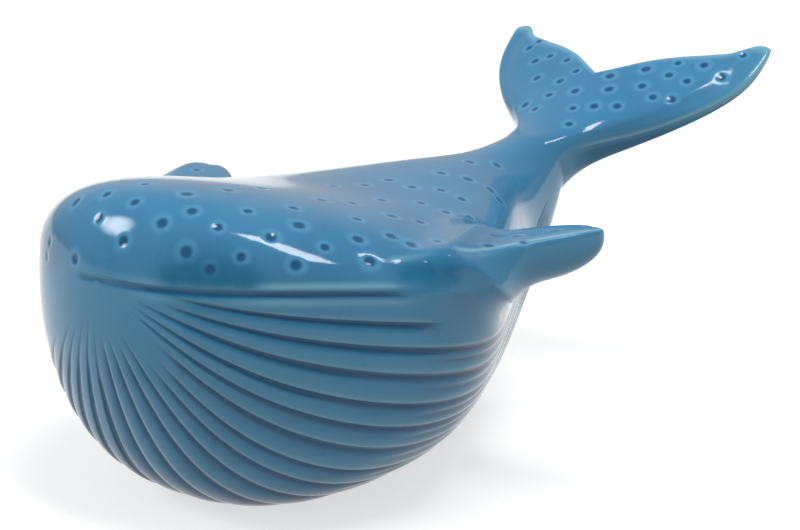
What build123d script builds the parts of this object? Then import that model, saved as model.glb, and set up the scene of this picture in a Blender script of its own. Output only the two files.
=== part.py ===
from build123d import *
import math
import os
import numpy as np

# A hollow glazed ceramic whale, nose towards -Y, tail towards +Y, its left side towards +X.
# The origin is the middle of the flat foot that it rests on. Millimetres.

# Body casting
body_length = 159.0
nose_reach = 59.2
body_width = 115.4
crown_rise = 21.4
belly_drop = 58.0
foot_sink = 1.2
mouth_dip = 8.0
tail_pitch = 30.0
body_wall = 5.0
crown_squareness = 2.1
belly_squareness = 2.26

# Rings of the body, from the nose to the tail joint: place along the body, height of the mouth
# line, half width at the mouth line, rise of the crown above it, drop of the belly below it, pitch
ring_place_shares = [0, 0.03, 0.111, 0.25, 0.421, 0.584, 0.737, 0.874, 1]
ring_mouth_shares = [0.45, 0.39, 0.26, 0, -0.54, -0.925, -1, -0.525, 1.075]
ring_width_shares = [0, 0.376, 0.709, 0.976, 1, 0.768, 0.499, 0.274, 0.173]
ring_crown_shares = [0, 0.69, 0.9, 0.865, 0.87, 0.977, 1, 0.82, 0.355]
ring_belly_shares = [0, 0.428, 0.82, 0.995, 0.931, 0.864, 0.74, 0.541, 0.241]
ring_pitch_shares = [-0.19, -0.19, -0.19, -0.19, -0.19, -0.19, -0.02, 0.31, 1]

# The hollow, in steps of the rings, and the vent in the foot
nose_ring_share = 0.25
hollow_start_share = 1.5
hollow_end_share = 7.2
vent_diameter = 3.5
vent_place_share = 0.5

# Tail flukes
fluke_span = 89.6
fluke_chord = 38.0
fluke_pitch = 31.4
tip_sweep = 25.0
sweep_pitch = 25.0
edge_droop = 5.0
edge_rise = 1.2
edge_drop = 2.6
fluke_squareness = 3.6

# Rings of the flukes, from the tail joint to the trailing edge: place along the chord, spread of
# the leading edge, sweep of the leading edge, thinning above and below, droop of the edges
fluke_place_shares = [0, 0.16, 0.34, 0.55, 0.79, 1]
fluke_spread_shares = [0, 0.06, 0.285, 0.6, 0.905, 1]
fluke_sweep_shares = [0, 0.16, 0.26, 0.36, 0.64, 1]
fluke_rise_shares = [1, 0.56, 0.29, 0.16, 0.07, 0]
fluke_drop_shares = [1, 0.7, 0.41, 0.25, 0.125, 0]
fluke_droop_shares = [0, 0.5, 1, 1.1, 0.9, 0.2]

# Trailing edge from the notch to the tip: place across one lobe, and sweep behind the notch
trail_place_shares = [0, 0.109, 0.217, 0.326, 0.478, 0.65, 0.8, 0.913, 0.957, 1]
trail_sweep_shares = [0, 0.138, 0.285, 0.415, 0.53, 0.645, 0.775, 0.92, 0.99, 1]

# Flippers: the left one runs from its root, inside the body, out to its tip
root_depth = 15.7
root_place_share = 0.311
root_rise = 1.9
flipper_spread = 24.3
flipper_reach = 48.4
flipper_lift = 4.6
flipper_half_width = 12.8
flipper_rise = 2.5
flipper_drop = 10.0
flipper_top_squareness = 3.0
flipper_side_shares = [0, 0.217, 0.433, 0.7, 0.93, 1]
flipper_reach_shares = [0, 0.334, 0.6, 0.818, 0.963, 1]
flipper_lift_shares = [0, 0.35, 0.56, 0.79, 0.96, 1]
flipper_width_shares = [1, 0.963, 0.852, 0.667, 0.37, 0]
flipper_rise_shares = [1, 0.92, 0.85, 0.77, 0.58, 0]
flipper_drop_shares = [1, 0.98, 0.98, 0.92, 0.56, 0]

# How finely the forms are laid out: ring spacing in steps of the tables, points round a ring
loft_step_share = 0.5
ring_points = 32
blade_points = 28
lookup_points = 101

# Blade slices and the end of the stock, in steps and places across the flukes
edge_round_share = 0.25
blade_start_share = 0.5
blade_place_shares = [0.99, 0.96, 0.88, 0.77, 0.62, 0.46, 0.33, 0.25, 0.13, 0]
stock_step_shares = [0, 0.5, 1, 1.5, 2.1]
stock_width_shares = [1, 1.03, 1.02, 0.92, 0.7]
stock_height_shares = [1, 1.02, 1.02, 0.92, 0.45]

# Tenons, sockets and the slip at the bottom of each socket
seat_clearance = 0.3
slip_thickness = 0.8
lug_wall = 4.0
flipper_tenon_diameter = 7.0
flipper_tenon_length = 13.0
flipper_tenon_depth = 8.3
flipper_tenon_reach = 26.5
flipper_tenon_drop = 0.7
tail_tenon_diameter = 8.0
tail_tenon_length = 10.0
tail_tenon_drop = 2.5

# Worked out from the sizes above
mouth_height = belly_drop - foot_sink
stock_half_width = body_width / 2 * ring_width_shares[-1]
stock_rise = crown_rise * ring_crown_shares[-1]
stock_drop = belly_drop * ring_belly_shares[-1]
fluke_spread = fluke_span / 2 - stock_half_width
ring_last = len(ring_place_shares) - 1
fluke_last = len(fluke_place_shares) - 1
flipper_last = len(flipper_side_shares) - 1
root_side = body_width / 2 - root_depth
root_behind = body_length * root_place_share - nose_reach
root_height = mouth_height + root_rise


def smooth(values, steps, flat_start=False):
    """A smooth curve through evenly spaced values, read at steps from 0 to the last."""
    values = np.asarray(values, float)
    count = len(values)
    matrix = np.eye(count)
    bends = np.zeros(count)
    for i in range(1, count - 1):
        matrix[i, i - 1:i + 2] = 1, 4, 1
        bends[i] = 6 * (values[i + 1] - 2 * values[i] + values[i - 1])
    if flat_start:
        matrix[0, :2] = 2, 1
        bends[0] = 6 * (values[1] - values[0])
    bends = np.linalg.solve(matrix, bends)
    i = np.clip(np.floor(steps).astype(int), 0, count - 2)
    u = steps - i
    v = 1 - u
    line = v * values[i] + u * values[i + 1]
    return line + ((v**3 - v) * bends[i] + (u**3 - u) * bends[i + 1]) / 6


def shares(table, size):
    return size * np.array(table)


def ring_outline(half_width, rise, drop, top_squareness, low_squareness):
    """Points across and up from a ring's centre: a fuller ellipse above and another below."""
    angles = np.arange(ring_points) * 2 * math.pi / ring_points
    cosine = np.cos(angles)
    sine = np.sin(angles)
    power = np.where(sine >= 0, 2 / top_squareness, 2 / low_squareness)
    across = half_width * np.sign(cosine) * np.abs(cosine) ** power
    upward = np.where(sine >= 0, rise, -drop) * np.abs(sine) ** power
    return across, upward


def closed_curve(points):
    return Wire([Edge.make_spline([Vector(*point) for point in points], periodic=True)])


def ring_centre(step):
    """Where the mouth line crosses the middle of a body ring, behind the origin and above it."""
    place = smooth(shares(ring_place_shares, body_length), step, True) - nose_reach
    mouth = smooth(shares(ring_mouth_shares, mouth_dip), step, True) + mouth_height
    return float(place), float(mouth)


def body_ring(step, inset=0.0):
    """One ring of the body as a closed curve. The inset makes the ring of the hollow."""
    place, mouth = ring_centre(step)
    pitch = math.radians(smooth(shares(ring_pitch_shares, tail_pitch), step, True))
    across, upward = ring_outline(
        smooth(shares(ring_width_shares, body_width / 2), step) - inset,
        smooth(shares(ring_crown_shares, crown_rise), step) - inset,
        smooth(shares(ring_belly_shares, belly_drop), step) - inset,
        crown_squareness,
        belly_squareness,
    )
    return closed_curve(
        [
            (x, place - h * math.sin(pitch), mouth + h * math.cos(pitch))
            for x, h in zip(across, upward)
        ]
    )


def tail_joint_plane():
    """The joint's centre on the mouth line, facing along the tail stock."""
    pitch = math.radians(tail_pitch)
    centre = Vector(0, *ring_centre(ring_last))
    return Plane(origin=centre, x_dir=(1, 0, 0), z_dir=(0, math.cos(pitch), math.sin(pitch)))


def flipper_paddle():
    """The whole left paddle, from its root inside the body to its tip."""
    along = Vector(flipper_spread, flipper_reach, flipper_lift).normalized()
    chord = Vector(along.Y, -along.X, 0).normalized()
    upward_way = chord.cross(along)
    root = Vector(root_side, root_behind, root_height)
    sections = []
    for step in np.arange(0, flipper_last, loft_step_share):
        from_tip = flipper_last - step
        centre = root + Vector(
            smooth(shares(flipper_side_shares, flipper_spread)[::-1], from_tip, True),
            smooth(shares(flipper_reach_shares, flipper_reach)[::-1], from_tip, True),
            smooth(shares(flipper_lift_shares, flipper_lift)[::-1], from_tip, True),
        )
        across, upward = ring_outline(
            smooth(shares(flipper_width_shares, flipper_half_width)[::-1], from_tip),
            smooth(shares(flipper_rise_shares, flipper_rise)[::-1], from_tip),
            smooth(shares(flipper_drop_shares, flipper_drop)[::-1], from_tip),
            flipper_top_squareness,
            belly_squareness,
        )
        points = [centre + chord * float(a) + upward_way * float(h) for a, h in zip(across, upward)]
        sections.append(Wire([Edge.make_spline(points, periodic=True)]))
    tip = root + Vector(flipper_spread, flipper_reach, flipper_lift)
    return Solid.make_loft(sections + [Vertex(tip.X, tip.Y, tip.Z)])


def fluke_point(step, across_share, way):
    """A point of the flukes' skin, above for way 1 and below for way -1.

    The step runs from 0 at the tail joint to the last at the trailing edge, and the share across
    from 0 in the middle to 1 at the leading edge.
    """
    half_width = stock_half_width + smooth(shares(fluke_spread_shares, fluke_spread), step)
    sweep = smooth(shares(fluke_sweep_shares, tip_sweep), step)
    if way > 0:
        thick = edge_rise + smooth(shares(fluke_rise_shares, stock_rise - edge_rise), step)
    else:
        thick = edge_drop + smooth(shares(fluke_drop_shares, stock_drop - edge_drop), step)
    lead_round = (1 - across_share**fluke_squareness) ** (1 / fluke_squareness)
    trail_round = math.sqrt(1 - max(0, 1 - (fluke_last - step) / edge_round_share) ** 2)
    droop = smooth(shares(fluke_droop_shares, edge_droop), step) * across_share**2
    height = way * thick * lead_round * trail_round - droop
    trail = np.interp(across_share, trail_place_shares, trail_sweep_shares)
    back_share = step / fluke_last
    swept = sweep * ((1 - back_share) * across_share**2 + back_share * trail)
    along = smooth(shares(fluke_place_shares, fluke_chord), step)
    rise = math.radians(fluke_pitch)
    slant = math.radians(sweep_pitch)
    joint = tail_joint_plane().origin
    return Vector(
        half_width * across_share,
        joint.Y + along * math.cos(rise) + swept * math.cos(slant) - height * math.sin(rise),
        joint.Z + along * math.sin(rise) + swept * math.sin(slant) + height * math.cos(rise),
    )


def blade_section(place_share):
    """A closed slice through the blade, this share of the half span out from the middle."""
    across = abs(place_share) * fluke_span / 2
    steps = np.linspace(0, fluke_last, lookup_points)
    edges = stock_half_width + smooth(shares(fluke_spread_shares, fluke_spread), steps)
    first = max(np.interp(across, edges, steps), blade_start_share)
    points = []
    for turn in np.arange(blade_points) * 2 * math.pi / blade_points:
        step = first + (fluke_last - first) * (1 - math.cos(turn)) / 2
        share = min(across / np.interp(step, steps, edges), 1)
        upper = fluke_point(step, share, 1)
        lower = fluke_point(step, share, -1)
        middle = (upper + lower) / 2
        blunt = math.sqrt(1 - max(0, 1 - (step - first) / edge_round_share) ** 2)
        skin = upper if turn < math.pi else lower
        point = middle + (skin - middle) * blunt
        points.append((place_share * fluke_span / 2, point.Y, point.Z))
    return closed_curve(points)


def stock_end():
    """The end of the tail stock, from the joint until it sinks into the blade."""
    joint = tail_joint_plane().origin
    climb = math.radians(fluke_pitch)
    rings = []
    for step, width_share, height_share in zip(
        stock_step_shares, stock_width_shares, stock_height_shares
    ):
        along = smooth(shares(fluke_place_shares, fluke_chord), step)
        rise = edge_rise + smooth(shares(fluke_rise_shares, stock_rise - edge_rise), step)
        drop = edge_drop + smooth(shares(fluke_drop_shares, stock_drop - edge_drop), step)
        across, upward = ring_outline(
            stock_half_width * width_share,
            rise * height_share,
            drop * height_share,
            crown_squareness,
            belly_squareness,
        )
        pitch = math.radians(tail_pitch if step == 0 else fluke_pitch)
        middle_y = joint.Y + along * math.cos(climb)
        middle_z = joint.Z + along * math.sin(climb)
        points = [
            (x, middle_y - h * math.sin(pitch), middle_z + h * math.cos(pitch))
            for x, h in zip(across, upward)
        ]
        rings.append(closed_curve(points))
    return Solid.make_loft(rings)


def body_form(inset=0.0):
    """The outer form of the body, closed at the nose and cut square at the tail joint."""
    nose_place, nose_height = ring_centre(0)
    nose = Vertex(0, nose_place + inset, nose_height)
    steps = np.arange(1, ring_last / loft_step_share + 1) * loft_step_share
    rings = [body_ring(step, inset) for step in (nose_ring_share, *steps)]
    return Solid.make_loft([nose, *rings])


def body_hollow():
    """The hollow that the casting leaves, one wall inside the outer form."""
    nose_place, nose_height = ring_centre(0)
    front = Vertex(0, nose_place + body_wall, nose_height)
    steps = np.arange(hollow_start_share, hollow_end_share, loft_step_share)
    rings = [body_ring(step, body_wall) for step in steps]
    end = body_ring(hollow_end_share, body_wall).center()
    return Solid.make_loft([front, *rings, Vertex(end.X, end.Y, end.Z)])


def skin_side(behind):
    """How far out the body's skin is at the mouth line, this far behind the origin."""
    steps = np.linspace(0, ring_last, lookup_points)
    places = smooth(shares(ring_place_shares, body_length), steps, True) - nose_reach
    return float(np.interp(behind, places, smooth(shares(ring_width_shares, body_width / 2), steps)))


def flipper_tenon_end():
    """How far out the inner end of the left flipper's tenon is."""
    return skin_side(root_behind + flipper_tenon_reach) - flipper_tenon_depth


def side_cylinder(diameter, start, length):
    """A cylinder on the left flipper's tenon axis, from this distance out, running inwards."""
    behind = root_behind + flipper_tenon_reach
    centre = (start, behind, root_height - flipper_tenon_drop)
    plane = Plane(origin=centre, x_dir=(0, 1, 0), z_dir=(-1, 0, 0))
    return Solid.make_cylinder(diameter / 2, length, plane)


def tail_cylinder(diameter, start, length):
    """A cylinder on the tail tenon's axis, from this depth inside the joint's face, inwards."""
    face = tail_joint_plane()
    down = face.y_dir * tail_tenon_drop
    origin = face.origin - down - face.z_dir * start
    inward = Plane(origin=origin, x_dir=face.x_dir, z_dir=-face.z_dir)
    return Solid.make_cylinder(diameter / 2, length, inward)


def with_mirror(shape):
    return [shape, shape.mirror(Plane.YZ)]


def foot_cut():
    """Everything below the flat that the whale stands on."""
    corner = (-body_width / 2, -nose_reach, -belly_drop)
    return Solid.make_box(body_width, body_length, belly_drop, Plane(corner))


def vent():
    """The small hole through the foot, on the centre line."""
    behind = body_length * vent_place_share - nose_reach
    return Solid.make_cylinder(vent_diameter / 2, mouth_height, Plane((0, behind, 0)))


def body_shell():
    """The hollow casting, with lugs for the flippers, sockets, a flat foot and a vent hole."""
    floor_side = flipper_tenon_end() - slip_thickness
    lug_diameter = flipper_tenon_diameter + 2 * (seat_clearance + lug_wall)
    lug = side_cylinder(lug_diameter, body_width / 2, body_width / 2 - floor_side + lug_wall)
    socket_diameter = flipper_tenon_diameter + 2 * seat_clearance
    socket = side_cylinder(socket_diameter, body_width, body_width - floor_side)
    tail_socket_diameter = tail_tenon_diameter + 2 * seat_clearance
    tail_socket = tail_cylinder(tail_socket_diameter, 0, tail_tenon_length + slip_thickness)
    hollow = body_hollow() - with_mirror(lug)
    cuts = [hollow, *with_mirror(socket), tail_socket, vent(), foot_cut()]
    return body_form() - cuts


def left_flipper():
    """The paddle outside the body's skin, with its tenon."""
    tenon_start = flipper_tenon_end() + flipper_tenon_length
    tenon = side_cylinder(flipper_tenon_diameter, tenon_start, flipper_tenon_length)
    return flipper_paddle() - body_form(-seat_clearance) + tenon


def tail_flukes():
    """The end of the stock, both lobes in one blade, and the tenon."""
    right = [blade_section(-share) for share in blade_place_shares]
    left = [blade_section(share) for share in blade_place_shares[-2::-1]]
    blade = Solid.make_loft(right + left)
    return stock_end() + blade + tail_cylinder(tail_tenon_diameter, 0, tail_tenon_length)


def left_flipper_slip():
    return side_cylinder(flipper_tenon_diameter, flipper_tenon_end(), slip_thickness)


def tail_slip():
    """A disc of slip between the tenon's end and the bottom of the tail socket."""
    return tail_cylinder(tail_tenon_diameter, tail_tenon_length, slip_thickness)


def write_parts():
    left_fin, right_fin = with_mirror(left_flipper())
    left_dab, right_dab = with_mirror(left_flipper_slip())
    nodes = {
        "body_shell": body_shell(),
        "left_flipper": left_fin,
        "right_flipper": right_fin,
        "tail_flukes": tail_flukes(),
        "left_flipper_slip": left_dab,
        "right_flipper_slip": right_dab,
        "tail_slip": tail_slip(),
    }
    os.makedirs("parts", exist_ok=True)
    for name, shape in nodes.items():
        export_step(shape, f"parts/{name}.step")
        print(name, len(shape.solids()), round(shape.volume))


write_parts()
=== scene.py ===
import math
from types import SimpleNamespace

import bpy
import numpy as np
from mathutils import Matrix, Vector
from mathutils.bvhtree import BVHTree
from mathutils.kdtree import KDTree


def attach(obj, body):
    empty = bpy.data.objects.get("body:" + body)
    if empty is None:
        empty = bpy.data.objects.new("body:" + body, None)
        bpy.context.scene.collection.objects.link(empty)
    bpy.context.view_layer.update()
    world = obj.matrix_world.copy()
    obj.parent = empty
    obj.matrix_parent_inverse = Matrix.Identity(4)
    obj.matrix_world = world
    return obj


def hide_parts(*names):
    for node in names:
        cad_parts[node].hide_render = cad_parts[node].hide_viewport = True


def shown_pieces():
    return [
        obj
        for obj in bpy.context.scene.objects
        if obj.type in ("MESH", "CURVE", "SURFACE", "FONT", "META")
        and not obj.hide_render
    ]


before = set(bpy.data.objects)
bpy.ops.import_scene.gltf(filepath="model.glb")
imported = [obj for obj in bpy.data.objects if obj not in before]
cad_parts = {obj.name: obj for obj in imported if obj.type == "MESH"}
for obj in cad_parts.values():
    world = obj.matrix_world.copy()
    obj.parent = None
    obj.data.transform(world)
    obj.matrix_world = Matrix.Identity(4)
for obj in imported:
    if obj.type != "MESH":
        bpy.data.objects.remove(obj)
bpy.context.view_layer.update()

# A glazed ceramic whale. Its shape is worked out here in millimetres, and each finished mesh is in
# metres. The nose points towards -Y, the tail towards +Y, the whale's left side towards +X.
METRES = 0.001

# Body: each ring's place along it, the height of the mouth line, the half width, the rise of the
# crown, the drop of the belly and the pitch, as shares of the sizes above them. A place along the
# whale is given in steps, one for each ring of these tables.
body_length = 159.0
nose_reach = 59.2
body_width = 115.4
crown_rise = 21.4
belly_drop = 58.0
foot_sink = 1.2
mouth_dip = 8.0
mouth_height = belly_drop - foot_sink
tail_pitch = 30.0
crown_squareness = 2.1
belly_squareness = 2.26
ring_place_shares = [0, 0.03, 0.111, 0.25, 0.421, 0.584, 0.737, 0.874, 1]
ring_mouth_shares = [0.45, 0.39, 0.26, 0, -0.54, -0.925, -1, -0.525, 1.075]
ring_width_shares = [0, 0.376, 0.709, 0.976, 1, 0.768, 0.499, 0.274, 0.173]
ring_crown_shares = [0, 0.69, 0.9, 0.865, 0.87, 0.977, 1, 0.82, 0.355]
ring_belly_shares = [0, 0.428, 0.82, 0.995, 0.931, 0.864, 0.74, 0.541, 0.241]
ring_pitch_shares = [-0.19, -0.19, -0.19, -0.19, -0.19, -0.19, -0.02, 0.31, 1]
ring_last = len(ring_place_shares) - 1
joint_cap_depth = 2.0

# Tail flukes. The trailing edge is given from the notch in the middle to the tip.
fluke_span = 89.6
fluke_chord = 38.0
fluke_pitch = 31.4
tip_sweep = 25.0
sweep_pitch = 25.0
edge_droop = 5.0
edge_rise = 1.4
edge_drop = 3.2
fluke_crown_squareness = 4.5
fluke_belly_squareness = 3.5
edge_round_share = 0.2
squaring_steps = 2.0
fluke_place_shares = [0, 0.16, 0.34, 0.55, 0.79, 1]
fluke_spread_shares = [0, 0.06, 0.285, 0.605, 0.93, 1]
fluke_sweep_shares = [0, 0.16, 0.26, 0.36, 0.655, 1]
fluke_rise_shares = [1, 0.56, 0.29, 0.16, 0.07, 0]
fluke_drop_shares = [1, 0.7, 0.41, 0.25, 0.125, 0]
fluke_droop_shares = [0, 0.5, 1, 1.1, 0.9, 0.2]
trail_sweep_shares = [0, 0.127, 0.262, 0.385, 0.475, 0.545, 0.602, 0.665, 0.76, 0.94, 0.91]
trail_last = len(trail_sweep_shares) - 1
fluke_last = len(fluke_place_shares) - 1
stock_half_width = body_width / 2 * ring_width_shares[-1]
stock_rise = crown_rise * ring_crown_shares[-1]
stock_drop = belly_drop * ring_belly_shares[-1]
fluke_spread = fluke_span / 2 - stock_half_width

# Flippers, from the root inside the body to the tip
root_depth = 15.7
root_place_share = 0.311
root_rise = 1.9
flipper_spread = 24.3
flipper_reach = 48.4
flipper_lift = 4.6
flipper_roll = 5.0
flipper_half_width = 12.8
flipper_rise = 2.5
flipper_drop = 10.0
flipper_top_squareness = 4.5
flipper_side_shares = [0, 0.217, 0.433, 0.7, 0.93, 1]
flipper_reach_shares = [0, 0.334, 0.6, 0.818, 0.963, 1]
flipper_lift_shares = [0, 0.35, 0.56, 0.79, 0.96, 1]
flipper_width_shares = [0.85, 0.95, 0.852, 0.667, 0.37, 0]
flipper_rise_shares = [0.8, 0.9, 0.85, 0.77, 0.58, 0]
flipper_drop_shares = [0.85, 0.98, 0.98, 0.92, 0.56, 0]
flipper_last = len(flipper_side_shares) - 1
root_side = body_width / 2 - root_depth
root_behind = body_length * root_place_share - nose_reach
flipper_root = np.array([root_side, root_behind, mouth_height + root_rise])

# Joints of the flippers: the fillet's radius where the skin faces up and where it faces down, the
# upward shares of its normal between which the one becomes the other, how far the skins run on
# inside each other, and the reaches over which their shading and colour run together
fillet_radii = (6.0, 10.0)
fillet_upward_shares = (0.1, 0.7)
fillet_overlap = 1.0
fillet_dive = 0.5
hidden_gaps = (-4.0, -2.0)
root_sink = 3.0
crease_blend = 4.5
joint_colour_reach = 9.0

# Throat pleats: where each groove runs, as a share of the way from the mouth line to the keel,
# on the left and on the right, and the body steps at which it starts behind the chin and ends
left_groove_shares = [0, 0.058, 0.12, 0.187, 0.268, 0.336, 0.405, 0.492, 0.56, 0.642]
left_groove_shares += [0.736, 0.846, 0.955]
right_groove_shares = [0, 0.062, 0.127, 0.2, 0.275, 0.352, 0.432, 0.515, 0.6, 0.69, 0.788, 0.893]
left_start_steps = [-0.4, 0.8, 0.75, 0.45, 0.4, 0.4, 0.8, 0.9, 0.85, 0.5, 0.55, 0.5, 0.5]
right_start_steps = [1.6, 2.4, 2.3, 2.1, 1.8, 1.4, 0.9, 0.5, 0.4, 0.3, 0.2, 0.3]
mouth_end_step = 2.75
first_pleat_end_step = 3.0
pleat_end_step = 7.3
pleat_fade_steps = 0.4
right_fade_steps = 1.1
split_start_step = 3.05
split_fade_steps = 0.7
pleat_column_shares = [0, 0.05, 0.11, 0.18, 0.27, 0.37, 0.47, 0.57, 0.68, 0.84]
keel_share = 0.68
pleat_depth = 0.72
pleat_pitch = 6.0
pleat_joint_gaps = (0.5, 4.0)
pleat_foot_gaps = (-0.2, 1.0)

# How deep a pleat is, and where the glaze pools and thins in it, from one groove's lip (0) to the
# next (1). The last curve is the small groove that splits each pleat towards the tail.
pleat_depth_curve = [(0, 0.1), (0.05, 0.5), (0.11, 0.92), (0.18, 1), (0.27, 0.72)]
pleat_depth_curve += [(0.37, 0.4), (0.47, 0.2), (0.6, 0.08), (0.85, 0), (1, 0.1)]
pleat_pool_curve = [(0, 0.15), (0.05, 0.65), (0.11, 1), (0.2, 1), (0.29, 0.6)]
pleat_pool_curve += [(0.4, 0.25), (0.55, 0.06), (0.75, 0), (0.92, 0), (1, 0.15)]
pleat_pale_curve = [(0, 0.8), (0.07, 0), (0.5, 0), (0.7, 0.08), (0.84, 0.18), (0.94, 0.55), (1, 0.8)]
split_curve = [(0, 0), (0.42, 0), (0.49, 0.3), (0.57, 0.75), (0.68, 0.45), (0.84, 0.08), (1, 0)]
pool_gain = 1.8

# Mouth: the carved line, the pale ridge under it and the lip over it, with distances down from the
# mouth line, and how far that line lies above the widest line of each ring
mouth_corner_steps = (0.2, 0.36)
mouth_growth_steps = (0.1, 0.9)
mouth_nose_share = 0.6
mouth_gain = 0.2
mouth_groove_stretch = 0.75
mouth_line_middle = 1.05
mouth_line_half = 0.75
mouth_line_depth = 0.35
mouth_ridge_middle = 2.6
mouth_ridge_half = 0.8
mouth_ridge_pale = 0.75
mouth_lip_width = 2.2
lip_clear_steps = (0.2, 1.3)
ring_lip_rises = [0, 0, 1.2, 1.7, 1.7, 1.1, 0.5, 0, 0]

# Dimples pressed in the back, the flukes and the flippers, and how far the scattered ones stay
# from the mouth line and from the flippers' joints. The curves run from a dimple's centre (0) to
# the reach in dimple radii (1).
dimple_radius = 1.45
dimple_size_shares = (0.82, 1.14)
dimple_depth = 0.2
dimple_rim = 0.15
dimple_reach = 3.0
dimple_press_curve = [(0, 1), (0.12, 0.9), (0.25, 0.5), (0.36, 0.12), (0.5, 0), (1, 0)]
dimple_rim_curve = [(0, 0), (0.25, 0), (0.42, 1), (0.6, 0.45), (0.85, 0), (1, 0)]
dimple_spacing = 8.0
dimple_density = 40000.0
dimple_seed = 7
dimple_mouth_gap = 4.0
dimple_joint_gap = 5.0
dimple_root_gap = 3.0
dimple_upward_share = 0.7

# Dimples seen in the picture, by their pixels
head_dimples = [
    (162, 223), (192, 211), (218, 227), (248, 211), (186, 252), (241, 257), (210, 270),
    (271, 237), (325, 247), (299, 225), (294, 208), (296, 265), (358, 239), (357, 219),
    (391, 236), (392, 216), (370, 261), (99, 218), (123, 241), (135, 202), (107, 194),
    (76, 202), (145, 184), (187, 194), (75, 258.5), (50, 241), (47, 256),
]
back_dimples = [
    (228, 190), (262, 188), (322, 200), (352, 203), (333, 186), (382, 200), (420, 222),
    (421, 203), (446, 212), (412, 187), (441, 190), (462, 199), (470, 217), (441, 173),
    (411, 245), (437, 245), (458, 252), (468, 179), (491, 190), (470, 162), (497, 165),
    (500, 200), (389, 180), (365, 185),
]
fluke_dimples = [
    (539, 41), (529, 48), (550, 56), (535, 61), (567, 60), (576, 71), (537, 78), (560, 81),
    (575, 91), (549, 95), (525, 105), (535, 109), (610, 76), (609, 89), (573, 108),
    (594, 106), (617, 106), (569, 124), (646, 69), (669, 75), (687, 81), (704, 65),
    (721, 77), (642, 86), (653, 97), (672, 99), (743, 55), (678, 63),
]
flipper_dimples = [(489, 246), (517, 236), (523, 242), (556, 230), (590, 226)]

# Pixels of the picture where the glaze lies deep, with the pool's radius in millimetres
glaze_pools = [(172, 281, 4.0), (196, 279, 5.5), (222, 280, 5.0), (246, 282, 3.5)]
glaze_pools += [(408, 273, 3.5), (425, 272, 4.5), (446, 270, 3.5), (75, 258, 4.0)]

# Ridge along which the left flipper's front edge runs out over the body, by its pixels, with its
# widths above and below, and the shade painted into the glaze under it
ridge_pixels = [(388, 261), (405, 259.5), (425, 258.5), (450, 257), (470, 255), (488, 253)]
ridge_rise = 1.3
ridge_widths = (2.2, 5.5)
ridge_widening = (-0.5, 1.5)
ridge_growth_share = 1.1
ridge_pale_share = 0.1
ridge_shade_share = 0.2
ridge_shade_drops = (-0.3, 1.0)
ridge_shade_reach = 12.0
shade_upward_shares = (0.35, 0.7)

# Where the glaze is thin and pale on an edge, or blue above and teal below; the darker teal under
# the flukes is painted shade
pale_core_share = 0.3
edge_pale_share = 0.953
edge_pale_width = 0.013
edge_pale_reach = 0.9
edge_pale_root_gap = 2.0
flipper_tip_pale = 0.5
fluke_edge_pale = 1.8
fluke_edge_steps = (0.6, 1.6)
under_edge_steps = (2.5, 4.5)
trailing_pale = 0.7
trailing_pale_steps = (0.3, 0.05)
blue_rise = 5.0
blue_upward_shares = (0.35, 0.75)
# Painted shade: how strongly the flukes' underside is darkened to teal, and the steps and drops over
# which it fades in
under_shade_teal = 0.95
under_teal_steps = (0.3, 1.2)
under_teal_drops = (0.3, 2.0)

# Foot and vent
vent_radius = 1.75
vent_place_share = 0.5
vent_behind = body_length * vent_place_share - nose_reach
vent_depth = 3.0
vent_points = 48
vent_margin_share = 1.35
foot_reach = 1.0
foot_glaze_gap = 0.06

# Fineness of the meshes, and how the rows crowd towards the start of each skin
crown_columns = 76
body_rows = 250
body_row_power = 1.08
fluke_rows = 96
fluke_row_power = 0.9
edge_rows = 9
edge_last_turn = 86
flipper_rows = 110
flipper_row_power = 1.5
flipper_columns = 128
quarter_points = 241
dense_steps = 2000
dense_turns = 1440
first_step = 0.02
far_away = 1e3
tiny = 1e-12

# The photographed view: the camera's azimuth and height in degrees, its distance in millimetres,
# its focal length in pixels, the point that it aims at, and the size of the picture
view_azimuth = 40.29
view_height = 13.235
view_distance = 490.3
view_focal = 1912.3
view_aim = np.array([5.87, 36.65, 46.33])
picture_size = (800, 530)

# Colours of the glaze: where it lies evenly above and below, where it pools, and where it is thin.
# The pools' teal is also painted as shade under the flukes
glaze_above = (0.048, 0.215, 0.405)
glaze_below = (0.054, 0.240, 0.402)
glaze_pooled = (0.000, 0.065, 0.170)
teal_pool_and_shade = (0.006, 0.150, 0.290)
glaze_thin = (0.240, 0.530, 0.660)
glaze_dimple = (0.010, 0.085, 0.210)
glaze_halo = (0.100, 0.360, 0.580)
bare_clay = (0.620, 0.540, 0.450)
slip_dark = (0.52, 0.46, 0.39)
slip_light = (0.68, 0.61, 0.52)

# How strongly each colour covers the glaze, the reaches in dimple radii over which a dimple's dark
# middle and pale halo fade in and out, the clouds, specks and grain, and how the glaze reflects
pale_cover = 0.85
pool_cover = 0.85
teal_cover = 0.85
cloud_cover = 0.28
halo_cover = 0.55
teal_halo_change = -0.6
dimple_cover = 0.9
speck_cover = 0.12
offset_fade = (0.9, 1.4)
halo_fade_in = (0.75, 1.15)
halo_fade_out = (1.2, 2.3)
dimple_fade = (1.05, 0.45)
cloud_scale = 28.0
cloud_range = (0.3, 0.7)
speck_scale = 260.0
speck_detail = 3.0
speck_range = (0.62, 0.72)
slip_scale = 900.0
slip_detail = 4.0
fine_roughness = 0.6
glaze_roughness = 0.09
glaze_ior = 1.38
clay_roughness = 0.85
ripple_strength = 0.06
ripple_depth = 0.001
slip_bump_strength = 0.3
slip_bump_depth = 0.0002

# Stage and light: how bright the room and the backdrop behind the whale are, the backdrop's half
# width in degrees inside and outside its soft edge, the soft glow in the room, and the floor
room_light = 0.38
backdrop_light = 0.48
backdrop_halves = (24, 46)
glow_way = (-0.66, -0.52, 0.54)
glow_half = 12
glow_light = 16.0
floor_shade = 0.48
floor_lift = 0.66
floor_half = 4

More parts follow.
